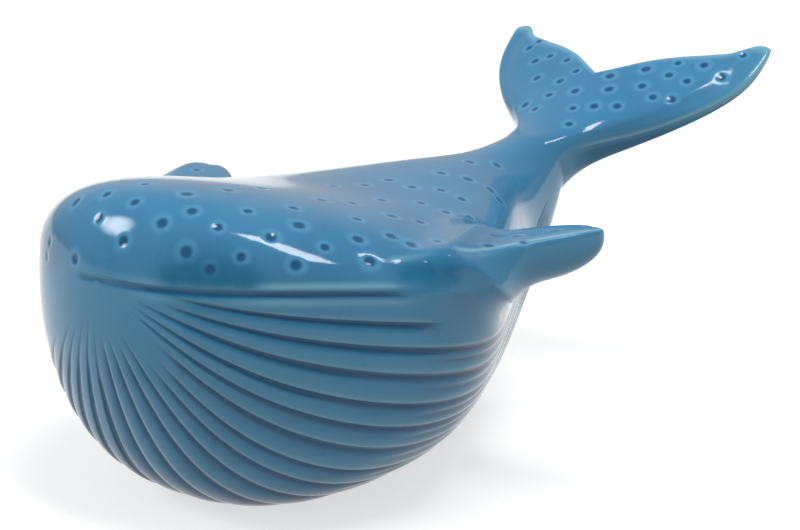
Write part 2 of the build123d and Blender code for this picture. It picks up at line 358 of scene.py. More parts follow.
# Lamps, in metres: each one's way from the whale, its width in degrees as seen from there, its
# brightness and its length as a share of its width
lamp_distance = 2.0
lamp_aim = (0, 0.02, 0.06)
overhead_way = (0.30, -0.06, 0.95)
overhead_spread = 9.5
overhead_light = 20.0
overhead_length_share = 2.9
rear_way = (0.24, 0.44, 0.86)
rear_spread = 7
rear_light = 14.0

# Camera, in metres but for its sensor, which is in millimetres
sensor_width = 36.0
clip_near = 0.01
clip_far = 20


def smooth(values, steps, flat_start=False):
    """A smooth curve through evenly spaced values, read at steps from 0 to the last."""
    values = np.asarray(values, float)
    count = len(values)
    matrix = np.eye(count)
    bends = np.zeros(count)
    for i in range(1, count - 1):
        matrix[i, i - 1:i + 2] = 1, 4, 1
        bends[i] = 6 * (values[i + 1] - 2 * values[i] + values[i - 1])
    if flat_start:
        matrix[0, :2] = 2, 1
        bends[0] = 6 * (values[1] - values[0])
    bends = np.linalg.solve(matrix, bends)
    i = np.clip(np.floor(steps).astype(int), 0, count - 2)
    u = steps - i
    v = 1 - u
    line = v * values[i] + u * values[i + 1]
    return line + ((v**3 - v) * bends[i] + (u**3 - u) * bends[i + 1]) / 6


def shares(table, size):
    """A table of shares as lengths of a size."""
    return size * np.array(table)


def ramp(values, start, end):
    """0 before start, 1 after end, and a soft rise between them."""
    u = np.clip((np.asarray(values, float) - start) / (end - start), 0, 1)
    return u * u * (3 - 2 * u)


def outline(half_width, rise, drop, top_squareness, low_squareness, angle):
    """Across and up from a ring's centre: a fuller ellipse above and another below."""
    cosine = np.cos(angle)
    sine = np.sin(angle)
    power = np.where(sine >= 0, 2 / top_squareness, 2 / low_squareness)
    across = half_width * np.sign(cosine) * np.abs(cosine) ** power
    upward = np.where(sine >= 0, rise, -drop) * np.abs(sine) ** power
    return across, upward


def body_skin(step, angle):
    """A point of the body's skin, at a step of its rings and an angle round the ring."""
    place = smooth(shares(ring_place_shares, body_length), step, True) - nose_reach
    mouth = smooth(shares(ring_mouth_shares, mouth_dip), step, True) + mouth_height
    pitch = np.radians(smooth(shares(ring_pitch_shares, tail_pitch), step, True))
    across, upward = outline(
        smooth(shares(ring_width_shares, body_width / 2), step),
        smooth(shares(ring_crown_shares, crown_rise), step),
        smooth(shares(ring_belly_shares, belly_drop), step),
        crown_squareness,
        belly_squareness,
        angle,
    )
    behind = place - upward * np.sin(pitch)
    return np.stack(np.broadcast_arrays(across, behind, mouth + upward * np.cos(pitch)), -1)


def fluke_skin(step, angle):
    """A point of the flukes' skin. Its rings go on from the body's last one."""
    half_width = stock_half_width + smooth(shares(fluke_spread_shares, fluke_spread), step)
    rise = edge_rise + smooth(shares(fluke_rise_shares, stock_rise - edge_rise), step)
    drop = edge_drop + smooth(shares(fluke_drop_shares, stock_drop - edge_drop), step)
    end = np.clip(1 - (fluke_last - step) / edge_round_share, 0, 1)
    edge = np.sqrt(1 - end**2)
    squared = np.clip(step / squaring_steps, 0, 1)
    across, upward = outline(
        1,
        rise * edge,
        drop * edge,
        crown_squareness + (fluke_crown_squareness - crown_squareness) * squared,
        belly_squareness + (fluke_belly_squareness - belly_squareness) * squared,
        angle,
    )
    outward = np.abs(across)
    upward = upward - smooth(shares(fluke_droop_shares, edge_droop), step) * outward**2
    back_share = step / fluke_last
    trail = smooth(trail_sweep_shares, outward * trail_last)
    sweep = smooth(shares(fluke_sweep_shares, tip_sweep), step)
    swept = sweep * ((1 - back_share) * outward**2 + back_share * trail)
    along = smooth(shares(fluke_place_shares, fluke_chord), step)
    climb = np.radians(tail_pitch + (fluke_pitch - tail_pitch) * np.clip(step, 0, 1))
    slant = math.radians(sweep_pitch)
    joint = np.array([body_length - nose_reach, mouth_height + mouth_dip * ring_mouth_shares[-1]])
    course = math.radians(fluke_pitch)
    behind = joint[0] + along * math.cos(course) + swept * math.cos(slant) - upward * np.sin(climb)
    height = joint[1] + along * math.sin(course) + swept * math.sin(slant) + upward * np.cos(climb)
    return np.stack(np.broadcast_arrays(half_width * across, behind, height), -1)


def flipper_skin(step, angle):
    """A point of the left flipper's skin, at a step that runs from its tip to its root."""
    along = np.array([flipper_spread, flipper_reach, flipper_lift])
    along = along / np.linalg.norm(along)
    chord = np.array([along[1], -along[0], 0])
    chord = chord / np.linalg.norm(chord)
    roll = math.radians(flipper_roll)
    chord = chord * math.cos(roll) + np.cross(chord, along) * math.sin(roll)
    upward_way = np.cross(chord, along)
    centre = flipper_root + np.stack(
        [
            smooth(shares(flipper_side_shares, flipper_spread)[::-1], step, True),
            smooth(shares(flipper_reach_shares, flipper_reach)[::-1], step, True),
            smooth(shares(flipper_lift_shares, flipper_lift)[::-1], step, True),
        ],
        -1,
    )
    across, upward = outline(
        smooth(shares(flipper_width_shares, flipper_half_width)[::-1], step),
        smooth(shares(flipper_rise_shares, flipper_rise)[::-1], step),
        smooth(shares(flipper_drop_shares, flipper_drop)[::-1], step),
        flipper_top_squareness,
        belly_squareness,
        angle,
    )
    return centre + across[..., None] * chord + upward[..., None] * upward_way


def side_rows(skin, steps, places, lifts):
    """Rows of points down the left side: place -1 at the crown, 0 at the mouth line, 1 at the keel.

    Places are shares of the skin's own length from the widest line to the crown or the keel. The
    lifts say how far above the widest line the mouth line lies.
    """
    fine = (1 - np.cos(np.linspace(0, math.pi, quarter_points))) / 2
    turn = math.pi / 2 * np.concatenate([fine[:0:-1], -fine])
    points = skin(steps[:, None], turn[None])
    arcs = np.linalg.norm(np.diff(points, axis=1), axis=2).cumsum(1)
    arcs = np.concatenate([np.zeros((len(steps), 1)), arcs], 1)
    arcs = arcs - arcs[:, quarter_points - 1, None]
    high = -arcs[:, :1]
    low = arcs[:, -1:]
    nearness = np.where(places < 0, 1 + places, 1 - places / left_groove_shares[1])
    aims = np.where(places < 0, places * high, places * low)
    aims = aims - lifts[:, None] * np.clip(nearness, 0, 1)
    angles = np.array([np.interp(aim, arc, turn) for aim, arc in zip(aims, arcs)])
    return skin(steps[:, None], angles), high[:, 0], low[:, 0]


def mirrored(points):
    """Points or normals turned over to the other side of the whale."""
    return points * np.array([-1, 1, 1])


def whole_rings(skin, steps, lifts):
    """Closed rings: the left mouth line, the keel, the right mouth line, the crown, and back."""
    left, high_lengths, low_lengths = side_rows(skin, steps, low_places[low_places <= 1], lifts)
    right, _, _ = side_rows(skin, steps, 2 - low_places[low_places > 1], lifts)
    crown, _, _ = side_rows(skin, steps, -high_places, lifts)
    rings = [left, mirrored(right)[:, :-1], mirrored(crown)[:, :-1], crown[:, :0:-1]]
    return np.concatenate(rings, 1), high_lengths, low_lengths


def all_round_values(low, high, right_high=None):
    """The same for numbers, which are alike on both sides above unless the right ones are given."""
    right_high = high if right_high is None else right_high
    return np.concatenate([low[..., :-1], right_high[..., :-1], high[..., :0:-1]], -1)


def even_steps(skin, last, rows, angle):
    """Steps at which rings lie evenly along the skin, closer together at the start."""
    dense = np.linspace(first_step, last, dense_steps)
    line = skin(dense, np.full_like(dense, angle))
    gaps = np.linalg.norm(np.diff(line, axis=0), axis=1)
    arc = np.concatenate([[0], gaps.cumsum()])
    return np.interp(np.linspace(0, 1, rows) ** body_row_power * arc[-1], arc, dense)


def grid_quads(rows, columns):
    """Four-sided faces between rows of points that close round, facing outwards."""
    i, j = np.meshgrid(np.arange(rows - 1), np.arange(columns), indexing="ij")
    k = (j + 1) % columns
    corners = [i * columns + j, i * columns + k, (i + 1) * columns + k, (i + 1) * columns + j]
    return np.stack(corners, -1).reshape(-1, 4)


def skin_normals(points, faces):
    """Normals at the points, averaged over the faces round each."""
    total = np.zeros_like(points)
    for corners in faces:
        a = points[corners[:, 0]]
        b = points[corners[:, 1]]
        c = points[corners[:, 2]]
        d = points[corners[:, -1]]
        across = np.cross(c - a, d - b) if corners.shape[1] == 4 else np.cross(b - a, c - a)
        for k in range(corners.shape[1]):
            np.add.at(total, corners[:, k], across)
    lengths = np.linalg.norm(total, axis=1, keepdims=True)
    return total / np.maximum(lengths, tiny)


def strip(outer, inner):
    """Triangles between two runs of point numbers, each with the share at which a point lies."""
    (a_ids, a_at), (b_ids, b_at) = outer, inner
    faces = []
    i = j = 0
    while i < len(a_ids) - 1 or j < len(b_ids) - 1:
        if j == len(b_ids) - 1 or (i < len(a_ids) - 1 and a_at[i + 1] <= b_at[j + 1]):
            faces.append((a_ids[i], a_ids[i + 1], b_ids[j]))
            i += 1
        else:
            faces.append((a_ids[i], b_ids[j + 1], b_ids[j]))
            j += 1
    return faces


def fan(ring, centre):
    """Triangles from a closed ring of point numbers to one point."""
    return np.array([(a, b, centre) for a, b in zip(ring, np.roll(ring, -1))])


# The photographed view
def view_ways():
    """The camera's ways to the right, upwards and backwards."""
    azimuth = math.radians(view_azimuth)
    height = math.radians(view_height)
    level_back = math.cos(height)
    back = np.array(
        [math.sin(azimuth) * level_back, -math.cos(azimuth) * level_back, math.sin(height)]
    )
    right = np.array([math.cos(azimuth), math.sin(azimuth), 0])
    return right, np.cross(back, right), back


view_right, view_up, view_back = view_ways()
eye = view_aim + view_distance * view_back


def pixel_way(u, v):
    """The way that the camera looks through a pixel of the picture."""
    across = (u - picture_size[0] / 2) / view_focal
    upward = (picture_size[1] / 2 - v) / view_focal
    way = view_right * across + view_up * upward - view_back
    return way / np.linalg.norm(way)


def seen_places(pixels, tree):
    """Where a skin is seen at the pixels, in millimetres."""
    hits = [tree.ray_cast(Vector(eye), Vector(pixel_way(*pixel)))[0] for pixel in pixels]
    return np.array([hit for hit in hits if hit is not None])


# Nodes
def add(tree, kind, inputs=None, **settings):
    """Adds a node, sets it up, and links or sets its inputs."""
    node = tree.nodes.new(kind)
    for name, value in settings.items():
        setattr(node, name, value)
    for key, value in (inputs or {}).items():
        if isinstance(key, int):
            socket = node.inputs[key]
        else:
            socket = next(s for s in node.inputs if s.name == key and s.enabled)
        if isinstance(value, bpy.types.NodeSocket):
            tree.links.new(value, socket)
        else:
            socket.default_value = value
    return node


def math_node(tree, operation, a, b=0.0, c=0.0, clamp=False):
    """The result of a sum or comparison of sockets or numbers."""
    node = add(tree, "ShaderNodeMath", {0: a, 1: b, 2: c}, operation=operation, use_clamp=clamp)
    return node.outputs[0]


def curve_node(tree, value, points):
    """A soft curve through (input, output) points."""
    node = add(tree, "ShaderNodeFloatCurve", {"Value": value})
    curve = node.mapping.curves[0]
    while len(curve.points) < len(points):
        curve.points.new(0.5, 0.5)
    for point, place in zip(curve.points, points):
        point.location = place
        point.handle_type = "AUTO_CLAMPED"
    node.mapping.update()
    return node.outputs[0]


def geometry_tree(name, sockets):
    """An empty geometry tree with these named inputs, and its input sockets."""
    tree = bpy.data.node_groups.new(name, "GeometryNodeTree")
    tree.interface.new_socket("Geometry", in_out="INPUT", socket_type="NodeSocketGeometry")
    for label, kind, value in sockets:
        socket = tree.interface.new_socket(label, in_out="INPUT", socket_type=kind)
        if value is not None:
            socket.default_value = value
    tree.interface.new_socket("Geometry", in_out="OUTPUT", socket_type="NodeSocketGeometry")
    return tree, add(tree, "NodeGroupInput").outputs


def named(tree, name, kind="FLOAT"):
    """The values that the skin carries under this name."""
    node = add(tree, "GeometryNodeInputNamedAttribute", {"Name": name}, data_type=kind)
    return node.outputs["Attribute"]


def store(tree, geometry, name, value, kind="FLOAT"):
    """Stores values on the points of the skin."""
    node = add(
        tree,
        "GeometryNodeStoreNamedAttribute",
        {"Geometry": geometry, "Name": name, "Value": value},
        data_type=kind,
        domain="POINT",
    )
    return node.outputs[0]


def push(tree, geometry, distance):
    """Moves the points along the skin's normal."""
    normal = add(tree, "GeometryNodeInputNormal").outputs[0]
    offset = add(
        tree, "ShaderNodeVectorMath", {0: normal, "Scale": distance}, operation="SCALE"
    ).outputs[0]
    return add(tree, "GeometryNodeSetPosition", {"Geometry": geometry, "Offset": offset}).outputs[0]


def end_tree(tree, geometry, material):
    """Ends a geometry tree in a plain mesh with a material."""
    solid = add(tree, "GeometryNodeRealizeInstances", {0: geometry}).outputs[0]
    finished = add(tree, "GeometryNodeSetMaterial", {"Geometry": solid, "Material": material})
    output = add(tree, "NodeGroupOutput")
    tree.links.new(finished.outputs[0], output.inputs[0])


def pleat_tree(material):
    """Carves the throat pleats and the mouth line, and says where the glaze pools or thins.

    The skin carries pleat_place, the share of the way from one groove's lip to the next, and
    pleat_gain, how strongly the groove is carved there.
    """
    tree, inputs = geometry_tree(
        "throat_pleats",
        [("Pleat Depth", "NodeSocketFloat", pleat_depth * METRES)],
    )
    place = named(tree, "pleat_place")
    gain = named(tree, "pleat_gain")
    split_gain = named(tree, "split_gain")
    split = math_node(tree, "MULTIPLY", curve_node(tree, place, split_curve), split_gain)
    depth = math_node(tree, "MULTIPLY", curve_node(tree, place, pleat_depth_curve), gain)
    depth = math_node(tree, "ADD", depth, split)
    line = named(tree, "mouth_line")
    depth = math_node(tree, "MULTIPLY_ADD", line, mouth_line_depth, depth)
    depth = math_node(tree, "MULTIPLY", depth, inputs["Pleat Depth"])
    full_gain = math_node(tree, "MULTIPLY", gain, pool_gain, clamp=True)
    pooled = math_node(tree, "MULTIPLY", curve_node(tree, place, pleat_pool_curve), full_gain)
    pooled = math_node(tree, "MAXIMUM", pooled, split)
    pooled = math_node(tree, "MAXIMUM", pooled, line)
    pale = math_node(tree, "MULTIPLY", curve_node(tree, place, pleat_pale_curve), gain)
    pale = math_node(tree, "MAXIMUM", pale, named(tree, "lip_pale"))
    geometry = store(tree, inputs["Geometry"], "pooled", pooled)
    geometry = store(tree, geometry, "pale", pale)
    geometry = push(tree, geometry, math_node(tree, "MULTIPLY", depth, -1.0))
    end_tree(tree, geometry, material)
    return tree


def scattered_points(tree, inputs, seats):
    """The seats' points, and others scattered over the dimple ground where no seat is near."""
    spread = add(
        tree,
        "GeometryNodeDistributePointsOnFaces",
        {
            "Mesh": inputs["Geometry"],
            "Distance Min": inputs["Spacing"],
            "Density Max": dimple_density,
            "Density Factor": named(tree, "dimple_ground"),
            "Seed": inputs["Seed"],
        },
        distribute_method="POISSON",
    ).outputs["Points"]
    here = add(tree, "GeometryNodeInputPosition").outputs[0]
    gap = add(
        tree,
        "GeometryNodeProximity",
        {0: seats, "Sample Position": here},
        target_element="POINTS",
    ).outputs["Distance"]
    crowded = math_node(tree, "LESS_THAN", gap, inputs["Spacing"])
    free = add(
        tree,
        "GeometryNodeDeleteGeometry",
        {"Geometry": spread, "Selection": crowded},
        domain="POINT",
    ).outputs[0]
    seat_points = add(tree, "GeometryNodeMeshToPoints", {0: seats}).outputs[0]
    joined = add(tree, "GeometryNodeJoinGeometry")
    tree.links.new(free, joined.inputs[0])
    tree.links.new(seat_points, joined.inputs[0])
    return joined.outputs[0]


def dimple_tree(material):
    """Presses dimples at the seats, and at scattered places where no seat is near.

    The skin carries dimple_ground, 1 where dimples may be scattered. Each point gets its offset
    from the nearest dimple's centre and its distance from it, in dimple radii.
    """
    tree, inputs = geometry_tree(
        "pressed_dimples",
        [
            ("Seats", "NodeSocketObject", None),
            ("Dimple Radius", "NodeSocketFloat", dimple_radius * METRES),
            ("Dimple Depth", "NodeSocketFloat", dimple_depth * METRES),
            ("Spacing", "NodeSocketFloat", dimple_spacing * METRES),
            ("Seed", "NodeSocketInt", dimple_seed),
        ],
    )
    seats = add(tree, "GeometryNodeObjectInfo", {"Object": inputs["Seats"]}).outputs["Geometry"]
    dimples = scattered_points(tree, inputs, seats)
    here = add(tree, "GeometryNodeInputPosition").outputs[0]
    nearest = add(
        tree, "GeometryNodeSampleNearest", {"Geometry": dimples, "Sample Position": here}
    ).outputs[0]
    centre = add(
        tree,
        "GeometryNodeSampleIndex",
        {"Geometry": dimples, "Value": here, "Index": nearest},
        data_type="FLOAT_VECTOR",
        domain="POINT",
    ).outputs[0]
    low_size, high_size = dimple_size_shares
    chance = add(
        tree,
        "FunctionNodeRandomValue",
        {"Min": low_size, "Max": high_size, "ID": nearest, "Seed": inputs["Seed"]},
        data_type="FLOAT",
    )
    size = next(s for s in chance.outputs if s.enabled)
    radius = math_node(tree, "MULTIPLY", inputs["Dimple Radius"], size)
    offset = add(tree, "ShaderNodeVectorMath", {0: here, 1: centre}, operation="SUBTRACT")
    scale = math_node(tree, "DIVIDE", 1.0, radius)
    offset = add(
        tree, "ShaderNodeVectorMath", {0: offset.outputs[0], "Scale": scale}, operation="SCALE"
    ).outputs[0]
    reach = add(tree, "ShaderNodeVectorMath", {0: offset}, operation="LENGTH").outputs["Value"]
    reach_share = math_node(tree, "DIVIDE", reach, dimple_reach, clamp=True)
    press = curve_node(tree, reach_share, dimple_press_curve)
    rim = curve_node(tree, reach_share, dimple_rim_curve)
    sunk = math_node(tree, "MULTIPLY", press, -1.0)
    fall = math_node(tree, "MULTIPLY_ADD", rim, dimple_rim, sunk)
    depth = math_node(tree, "MULTIPLY", inputs["Dimple Depth"], fall)
    geometry = store(tree, inputs["Geometry"], "dimple_offset", offset, "FLOAT_VECTOR")
    geometry = store(tree, geometry, "dimple_reach", reach)
    geometry = push(tree, geometry, depth)
    end_tree(tree, geometry, material)
    return tree


def run_tree(tree, piece, values):
    """Puts the piece through the tree and gives it the plain mesh that comes out."""
    modifier = piece.modifiers.new(tree.name, "NODES")
    modifier.node_group = tree
    for item in tree.interface.items_tree:
        if item.item_type == "SOCKET" and item.in_out == "INPUT" and item.name in values:
            modifier[item.identifier] = values[item.name]
    depsgraph = bpy.context.evaluated_depsgraph_get()
    mesh = bpy.data.meshes.new_from_object(
        piece.evaluated_get(depsgraph), preserve_all_data_layers=True, depsgraph=depsgraph
    )
    piece.modifiers.clear()
    piece.data = mesh


# Meshes
def add_values(mesh, name, values):
    """Stores one number or one vector for each point of a mesh."""
    values = np.asarray(values, np.float32)
    if values.ndim == 1:
        mesh.attributes.new(name, "FLOAT", "POINT").data.foreach_set("value", values)
    else:
        layer = mesh.attributes.new(name, "FLOAT_VECTOR", "POINT")
        layer.data.foreach_set("vector", values.ravel())


def read_values(mesh, name):
    """The numbers or vectors stored under this name for the points of a mesh."""
    layer = mesh.attributes[name]
    if layer.data_type == "FLOAT_VECTOR":
        values = np.zeros(len(layer.data) * 3, np.float32)
        layer.data.foreach_get("vector", values)
        return values.reshape(-1, 3)
    values = np.zeros(len(layer.data), np.float32)
    layer.data.foreach_get("value", values)
    return values


def new_object(name, mesh):
    """An object at the origin that shows this mesh."""
    piece = bpy.data.objects.new(name, mesh)
    bpy.context.scene.collection.objects.link(piece)
    return piece


def make_piece(name, points, faces, values):
    """A mesh object from millimetre points, groups of faces, and numbers for each point."""
    mesh = bpy.data.meshes.new(name)
    corners = [tuple(face) for group in faces for face in group.tolist()]
    mesh.from_pydata((points * METRES).tolist(), [], corners)
    for key, numbers in values.items():
        add_values(mesh, key, numbers)
    mesh.shade_smooth()
    return new_object(name, mesh)


def seat_object(name, places):
    """Loose points at which dimples are pressed."""
    mesh = bpy.data.meshes.new(name)
    mesh.from_pydata((places * METRES).tolist(), [], [])
    return new_object(name, mesh)


def mesh_points(mesh):
    """The points of a mesh, in millimetres."""
    points = np.zeros(len(mesh.vertices) * 3)
    mesh.vertices.foreach_get("co", points)
    return points.reshape(-1, 3) / METRES


def surface_tree(points, faces):
    """A search tree of a skin's faces."""
    corners = [tuple(face) for group in faces for face in group.tolist()]
    return BVHTree.FromPolygons([Vector(p) for p in points.tolist()], corners)


def point_tree(points):
    """A search tree of points."""
    tree = KDTree(len(points))
    for number, place in enumerate(points):
        tree.insert(place, number)
    tree.balance()
    return tree


# The whole skin, from the nose to the trailing edge
def low_columns():
    """The columns from the left mouth line (place 0) under the keel (1) to the right one (2).

    For each column: its place, its groove's number, and its share of the way to the next groove.
    """
    middle = (left_groove_shares[-1] + 2 - right_groove_shares[-1]) / 2
    sides = [(left_groove_shares + [middle], 0), (right_groove_shares + [2 - middle], 1)]
    runs = []
    for edges, side in sides:
        run = []
        for number, (start, end) in enumerate(zip(edges[:-1], edges[1:])):
            last = number == len(edges) - 2
            stretch = keel_share if last else 1
            for share in pleat_column_shares:
                if share < stretch:
                    place = start + share / stretch * (end - start)
                    run.append((place, number + side * len(left_groove_shares), share))
        runs.append(run)
    right = [(2 - place, number, share) for place, number, share in runs[1][::-1]]
    rows = runs[0] + [(middle, len(left_groove_shares) - 1, keel_share)] + right
    places, grooves, pleat = [np.array(column) for column in zip(*rows)]
    mouth = (grooves == 0) | (grooves == len(left_groove_shares))
    knee = mouth_groove_stretch
    stretched = np.where(pleat < knee, pleat * knee, knee**2 + (pleat - knee) * (1 + knee))
    return places, grooves, np.where(mouth, stretched, pleat)


low_places, low_grooves, low_pleats = low_columns()
high_places = np.linspace(0, 1, crown_columns + 1)
far_column = len(low_places) - 1


def whale_skin():
    """The skin of the body and the flukes in one, with what is known of each of its rows."""
    body_steps = even_steps(body_skin, ring_last, body_rows, -math.pi / 4)
    along_flukes = np.linspace(0, 1, fluke_rows) ** fluke_row_power
    edge_turns = np.radians(np.linspace(0, edge_last_turn, edge_rows))
    fluke_steps = along_flukes * (fluke_last - edge_round_share)
    edge_steps = fluke_last - edge_round_share * (1 - np.sin(edge_turns))
    fluke_steps = np.concatenate([fluke_steps[1:], edge_steps[1:]])
    body_lifts = smooth(ring_lip_rises, body_steps)
    fluke_lifts = np.zeros(len(fluke_steps))
    body_rings, body_highs, body_lows = whole_rings(body_skin, body_steps, body_lifts)
    fluke_rings, fluke_highs, fluke_lows = whole_rings(fluke_skin, fluke_steps, fluke_lifts)
    rings = np.concatenate([body_rings, fluke_rings])
    rows, columns = rings.shape[:2]
    nose = body_skin(np.array(0.0), 0.0)
    points = np.concatenate([rings.reshape(-1, 3), nose[None]])
    last_ring = (rows - 1) * columns + np.arange(columns)
    low_edge = last_ring[:far_column + 1]
    high_edge = np.append(last_ring[far_column:], last_ring[0])[::-1]
    edge_cap = strip((low_edge, -points[low_edge, 0]), (high_edge, -points[high_edge, 0]))
    edge_cap = np.array([face for face in edge_cap if len(set(face)) == 3])
    quads = grid_quads(rows, columns)
    nose_cap = fan(np.arange(columns)[::-1], rows * columns)
    return SimpleNamespace(
        points=points,
        faces=[quads, nose_cap, edge_cap],
        rows=rows,
        columns=columns,
        joint_row=len(body_steps) - 1,
        steps=np.concatenate([body_steps, ring_last + fluke_steps]),
        lifts=np.append(body_lifts, fluke_lifts)[:, None],
        high_lengths=np.append(body_highs, fluke_highs)[:, None],
        low_lengths=np.append(body_lows, fluke_lows)[:, None],
    )


def paddle_skin():
    """The left flipper's skin, in rings from its root to its tip."""
    steps = np.linspace(0, 1, flipper_rows) ** flipper_row_power * flipper_last
    steps = steps[:0:-1]
    turns = -2 * math.pi * np.arange(dense_turns + 1) / dense_turns
    dense = flipper_skin(steps[:, None], turns[None])
    arcs = np.linalg.norm(np.diff(dense, axis=1), axis=2).cumsum(1)
    arcs = np.concatenate([np.zeros((len(arcs), 1)), arcs], 1)
    shares_round = np.arange(flipper_columns) / flipper_columns
    angles = np.array([np.interp(shares_round, arc / arc[-1], turns) for arc in arcs])
    rings = flipper_skin(steps[:, None], angles)
    tip = flipper_skin(np.array(0.0), 0.0)
    ring = np.arange(flipper_columns)
    count = len(steps) * flipper_columns
    return SimpleNamespace(
        points=np.concatenate([rings.reshape(-1, 3), tip[None], flipper_root[None]]),
        faces=[
            grid_quads(len(steps), flipper_columns),
            fan(count - flipper_columns + ring, count),
            fan(ring[::-1], count + 1),
        ],
        rows=len(steps),
        shares_round=shares_round,
    )


# Where the skins meet
def fillet_rise(gap, upward):
    """How far a skin rises at this distance from the other skin, so that the two meet softly.

    The joint is tight where the skin faces up, and wide where it faces sideways or down. Well
    inside the other skin, this one sinks so that it stays hidden.
    """
    upward_share = ramp(upward, *fillet_upward_shares)
    radius = fillet_radii[1] + (fillet_radii[0] - fillet_radii[1]) * upward_share
    meeting = radius / 4
    reach = np.clip(gap, meeting, radius)
    outside = (np.sqrt(radius) - np.sqrt(reach)) ** 2
    depth = np.clip(meeting - gap, 0, None)
    dive = fillet_dive * np.clip(depth - fillet_overlap, 0, None)
    inside = meeting + np.minimum(depth, fillet_overlap) - dive
    hidden = 1 - ramp(gap, *hidden_gaps)
    inside = inside * (1 - hidden) - root_sink * hidden
    return np.where(gap < meeting, inside, outside)


def signed_gaps(points, other, others_points):
    """Distances of the points from another closed skin where they are near it, below 0 inside."""
    low = others_points.min(0) - fillet_radii[1]
    high = others_points.max(0) + fillet_radii[1]
    near = ((points > low) & (points < high)).all(1)
    gaps = np.full(len(points), far_away)
    for k in np.flatnonzero(near):
        place, normal, _, distance = other.find_nearest(Vector(points[k]))
        inside = (Vector(points[k]) - place).dot(normal) < 0
        gaps[k] = -distance if inside else distance
    return gaps


def join_softly(whale, paddle):
    """Raises both skins where they meet, and keeps how far each point is from the other skin."""
    for skin in (whale, paddle):
        skin.normals = skin_normals(skin.points, skin.faces)
        skin.tree = surface_tree(skin.points, skin.faces)
    left_gaps = signed_gaps(whale.points, paddle.tree, paddle.points)
    right_gaps = signed_gaps(mirrored(whale.points), paddle.tree, paddle.points)
    whale.gaps = np.minimum(left_gaps, right_gaps)
    paddle.gaps = signed_gaps(paddle.points, whale.tree, whale.points)
    for skin in (whale, paddle):
        rise = fillet_rise(skin.gaps, skin.normals[:, 2])
        skin.points = skin.points + skin.normals * rise[:, None]


def shared_normals(points, normals, others, other_normals, near):
    """Turns the normals near another skin towards its own, so that no crease shows between."""
    tree = point_tree(others)
    normals = normals.copy()
    for k in np.flatnonzero(near):
        _, number, distance = tree.find(points[k])
        share = 0.5 * math.exp(-((distance / crease_blend) ** 2))
        blend = (1 - share) * normals[k] + share * other_normals[number]
        normals[k] = blend / np.linalg.norm(blend)
    return normals


# The ridge that leads to each flipper
def line_gaps(points, line):
    """Distances from a line of straight pieces, heights above it, and the share passed by then."""
    best = np.full(len(points), far_away)
    above = np.zeros(len(points))
    passed = np.zeros(len(points))
    for number, (a, b) in enumerate(zip(line[:-1], line[1:])):
        along = np.clip((points - a) @ (b - a) / ((b - a) @ (b - a)), 0, 1)
        away = points - a - along[:, None] * (b - a)
        gaps = np.linalg.norm(away, axis=1)
        above = np.where(gaps < best, away[:, 2], above)
        passed = np.where(gaps < best, (number + along) / (len(line) - 1), passed)
        best = np.minimum(gaps, best)
    return best, above, passed


def raise_ridge(whale, left_points):
    """Raises the ridges, and gives how pale their edge is and how much shade is painted on the skin
    below.
    """
    line = seen_places(ridge_pixels, whale.tree)
    gaps, above, passed = line_gaps(left_points, line)
    low_share = ramp(-above, *ridge_widening)
    widths = ridge_widths[0] + (ridge_widths[1] - ridge_widths[0]) * low_share
    ridge = np.exp(-((gaps / widths) ** 2)) * ramp(passed, 0, ridge_growth_share)
    pale = np.exp(-((gaps / edge_pale_reach) ** 2)) * ramp(passed, 0, ridge_pale_share)
    # Painted shade under the ridge, where the skin faces sideways or down.
    shade = ramp(passed, 0, ridge_shade_share) * ramp(-above, *ridge_shade_drops)
    shade = shade * np.exp(-((gaps / ridge_shade_reach) ** 2))
    shade = shade * (1 - ramp(whale.normals[:, 2], *shade_upward_shares))
    whale.points = whale.points + whale.normals * (ridge_rise * ridge)[:, None]
    return pale, shade


# What the whale's skin carries: pleats, the mouth, colours, and where dimples may be scattered
def with_nose(values):
    """Numbers for the rings' points, in one row with a 0 for the point of the nose."""
    return np.append(values.reshape(-1), 0.0)


def zero_high(whale):
    """Zeros for the columns above the mouth line."""
    return np.zeros((whale.rows, crown_columns + 1))


def pleat_gains(steps, grooves, lengths):
    """How strongly each column's groove is carved at each row."""
    first_right = len(left_groove_shares)
    start = np.array(left_start_steps + right_start_steps)[grooves]
    end = np.full(len(grooves), pleat_end_step)
    end[(grooves == 0) | (grooves == first_right)] = mouth_end_step
    end[(grooves == 1) | (grooves == first_right + 1)] = first_pleat_end_step
    rise = np.where(grooves < first_right, pleat_fade_steps, right_fade_steps)
    gains = ramp(steps[:, None], start, start + rise)
    gains = gains * (1 - ramp(steps[:, None], end, end + pleat_fade_steps))
    pitches = np.append(np.gradient(left_groove_shares), np.gradient(right_groove_shares))[grooves]
    tight = np.clip(pitches * lengths / pleat_pitch, 0, 1)
    tight[:, (grooves == 0) | (grooves == first_right)] = mouth_gain
    return gains * tight


def pool_and_underside_shade_values(whale, left_points, below_mouth):
    """How teal the glaze is in its pools, and the teal painted as shade under the flukes."""
    clear = np.ones(len(whale.points))
    for u, v, radius in glaze_pools:
        middle = seen_places([(u, v)], whale.tree)
        reach = np.linalg.norm(left_points - middle, axis=1) / radius
        clear = clear * (1 - np.exp(-(reach**2)))
    # Painted shade: the underside of the flukes is darkened to teal.
    start, end = under_teal_steps
    underside_shade = ramp(whale.steps, ring_last + start, ring_last + end)[:, None]
    underside_shade = underside_shade * ramp(below_mouth, *under_teal_drops)
    underside_shade = with_nose(all_round_values(underside_shade, zero_high(whale)))
    return 1 - clear * (1 - under_shade_teal * underside_shade)


